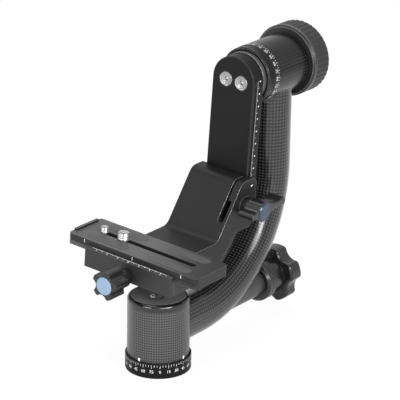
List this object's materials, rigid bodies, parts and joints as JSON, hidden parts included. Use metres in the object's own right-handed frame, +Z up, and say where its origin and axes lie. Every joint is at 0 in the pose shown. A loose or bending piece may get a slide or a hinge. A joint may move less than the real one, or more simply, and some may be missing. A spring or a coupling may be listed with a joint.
{
  "type": "gimbal tripod head",
  "caption": "Side-mount gimbal head: pan housing, curved carbon arm, tilt axis with a hanging rail, height-adjustable lens platform and a dovetail clamp with a lens plate",
  "frame": {"origin": "centre of the base's bottom face, on the pan axis, where the tripod's plate meets it", "axes": "+Z up along the pan axis, +Y from the base towards the arm, +X the way the lens points"},
  "size_m": [0.1208, 0.2224, 0.2295],
  "materials": {
    "black_anodised": "satin black anodised",
    "black_paint": "fine satin black coating",
    "carbon": "carbon fibre weave under a clear coat",
    "engraved_ring": "black anodised with a white degree scale",
    "steel": "bare steel",
    "steel_dark": "blackened steel",
    "bronze": "bronze bush",
    "brass": "brass",
    "black_rubber": "matt rubber",
    "pad_rubber": "ribbed rubber",
    "knob_plastic": "satin black plastic",
    "blue_cap": "pale blue plastic",
    "blue_cap_dark": "blue plastic",
    "nylon": "white nylon",
    "vial": "green tinted vial"
  },
  "bodies": {
    "base": {"base_plate": "black_paint", "degree_ring": "engraved_ring", "tripod_insert": "steel", "pan_spindle": "steel", "foot_screws": "steel_dark", "spindle_nut": "steel"},
    "housing": {"pan_tube": "carbon", "pan_core": "black_anodised", "lower_pan_bush": "bronze", "upper_pan_bush": "bronze", "cap_ring": "black_anodised", "cap_disc": "black_paint", "level_cup": "black_anodised", "level_vial": "vial", "arm_plug": "black_anodised", "j_arm": "carbon", "lock_boss": "carbon", "lock_collar": "black_anodised", "front_tilt_bush": "bronze", "rear_tilt_bush": "bronze"},
    "pan_brake": {"brake_shoe": "nylon", "pan_lock_rod": "steel"},
    "pan_handle": {"pan_knob": "knob_plastic"},
    "tilt_brake": {"pressure_disc": "steel_dark"},
    "tilt_handle": {"tilt_knob_core": "black_anodised", "tilt_knob_grip": "black_rubber", "tilt_knob_insert": "brass", "tilt_knob_cap": "black_anodised"},
    "swing": {"tilt_shaft": "steel", "tilt_flange": "black_anodised", "tilt_spacer": "black_anodised", "swing_rail": "black_anodised", "rail_screws": "steel", "rail_stop": "black_anodised", "rail_stop_screw": "steel_dark"},
    "platform": {"platform_bracket": "black_anodised", "clamp_body": "black_anodised", "clamp_screws": "steel_dark", "jaw_spring": "steel"},
    "height_brake": {"height_washer": "steel"},
    "height_handle": {"height_knob_grip": "knob_plastic", "height_knob_cap": "blue_cap_dark", "height_knob_screw": "steel"},
    "jaw": {"clamp_jaw": "black_anodised", "jaw_pins": "steel"},
    "plate_handle": {"plate_knob_grip": "knob_plastic", "plate_knob_cap": "blue_cap", "plate_knob_screw": "steel"},
    "plate": {"lens_plate": "black_anodised", "plate_pads": "pad_rubber", "plate_stops": "steel_dark"},
    "quarter_carrier": {"quarter_screw_washer": "nylon"},
    "quarter_bolt": {"quarter_screw": "steel"},
    "large_carrier": {"large_screw_washer": "nylon"},
    "large_bolt": {"large_screw": "steel"}
  },
  "joints": [
    {"name": "pan_turn", "type": "hinge", "parent": "base", "child": "housing", "pos_m": [0, 0, 0.03], "axis": [0, 0, 1], "continuous": true},
    {"name": "pan_lock_travel", "type": "slide", "parent": "housing", "child": "pan_brake", "axis": [0, 1, 0], "range_m": [0, 0.00125]},
    {"name": "pan_knob_turn", "type": "hinge", "parent": "pan_brake", "child": "pan_handle", "pos_m": [0, 0.13, 0.028], "axis": [0, 1, 0], "range_deg": [0, 360]},
    {"name": "tilt_turn", "type": "hinge", "parent": "housing", "child": "swing", "pos_m": [0, 0.13, 0.2013], "axis": [0, 1, 0], "range_deg": [-93.8, 86.2]},
    {"name": "tilt_lock_travel", "type": "slide", "parent": "housing", "child": "tilt_brake", "axis": [0, 1, 0], "range_m": [0, 0.001]},
    {"name": "tilt_knob_turn", "type": "hinge", "parent": "tilt_brake", "child": "tilt_handle", "pos_m": [0, 0.165, 0.2013], "axis": [0, 1, 0], "range_deg": [0, 360]},
    {"name": "height_slide", "type": "slide", "parent": "swing", "child": "platform", "axis": [0.0663, 0, 0.9978], "range_m": [0, 0.038]},
    {"name": "height_lock_travel", "type": "slide", "parent": "platform", "child": "height_brake", "axis": [0.9978, 0, -0.0663], "range_m": [0, 0.001]},
    {"name": "height_knob_turn", "type": "hinge", "parent": "height_brake", "child": "height_handle", "pos_m": [0.02388, 0.082, 0.10811], "axis": [0.9978, 0, -0.0663], "range_deg": [0, 360]},
    {"name": "jaw_travel", "type": "slide", "parent": "platform", "child": "jaw", "axis": [0, -1, 0], "range_m": [0, 0.003]},
    {"name": "plate_knob_turn", "type": "hinge", "parent": "jaw", "child": "plate_handle", "pos_m": [-0.01647, -0.03, 0.07411], "axis": [0, -1, 0], "range_deg": [0, 1080]},
    {"name": "plate_slide", "type": "slide", "parent": "platform", "child": "plate", "axis": [0.9978, 0, -0.0663], "range_m": [-0.014, 0.011]},
    {"name": "quarter_slide", "type": "slide", "parent": "plate", "child": "quarter_carrier", "axis": [0.9978, 0, -0.0663], "range_m": [-0.0005, 0.003]},
    {"name": "quarter_turn", "type": "hinge", "parent": "quarter_carrier", "child": "quarter_bolt", "pos_m": [-0.05515, 0.0046, 0.09222], "axis": [0.0663, 0, 0.9978], "continuous": true},
    {"name": "large_slide", "type": "slide", "parent": "plate", "child": "large_carrier", "axis": [0.9978, 0, -0.0663], "range_m": [0, 0.058]},
    {"name": "large_turn", "type": "hinge", "parent": "large_carrier", "child": "large_bolt", "pos_m": [-0.03699, 0.0046, 0.09101], "axis": [0.0663, 0, 0.9978], "continuous": true}
  ],
  "couplings": [
    {"joint": "pan_knob_turn", "follows": "pan_lock_travel", "rad_per_m": 5026.5},
    {"joint": "tilt_knob_turn", "follows": "tilt_lock_travel", "rad_per_m": 6283.2},
    {"joint": "height_knob_turn", "follows": "height_lock_travel", "rad_per_m": 6283.2},
    {"joint": "plate_knob_turn", "follows": "jaw_travel", "rad_per_m": 6283.2}
  ]
}
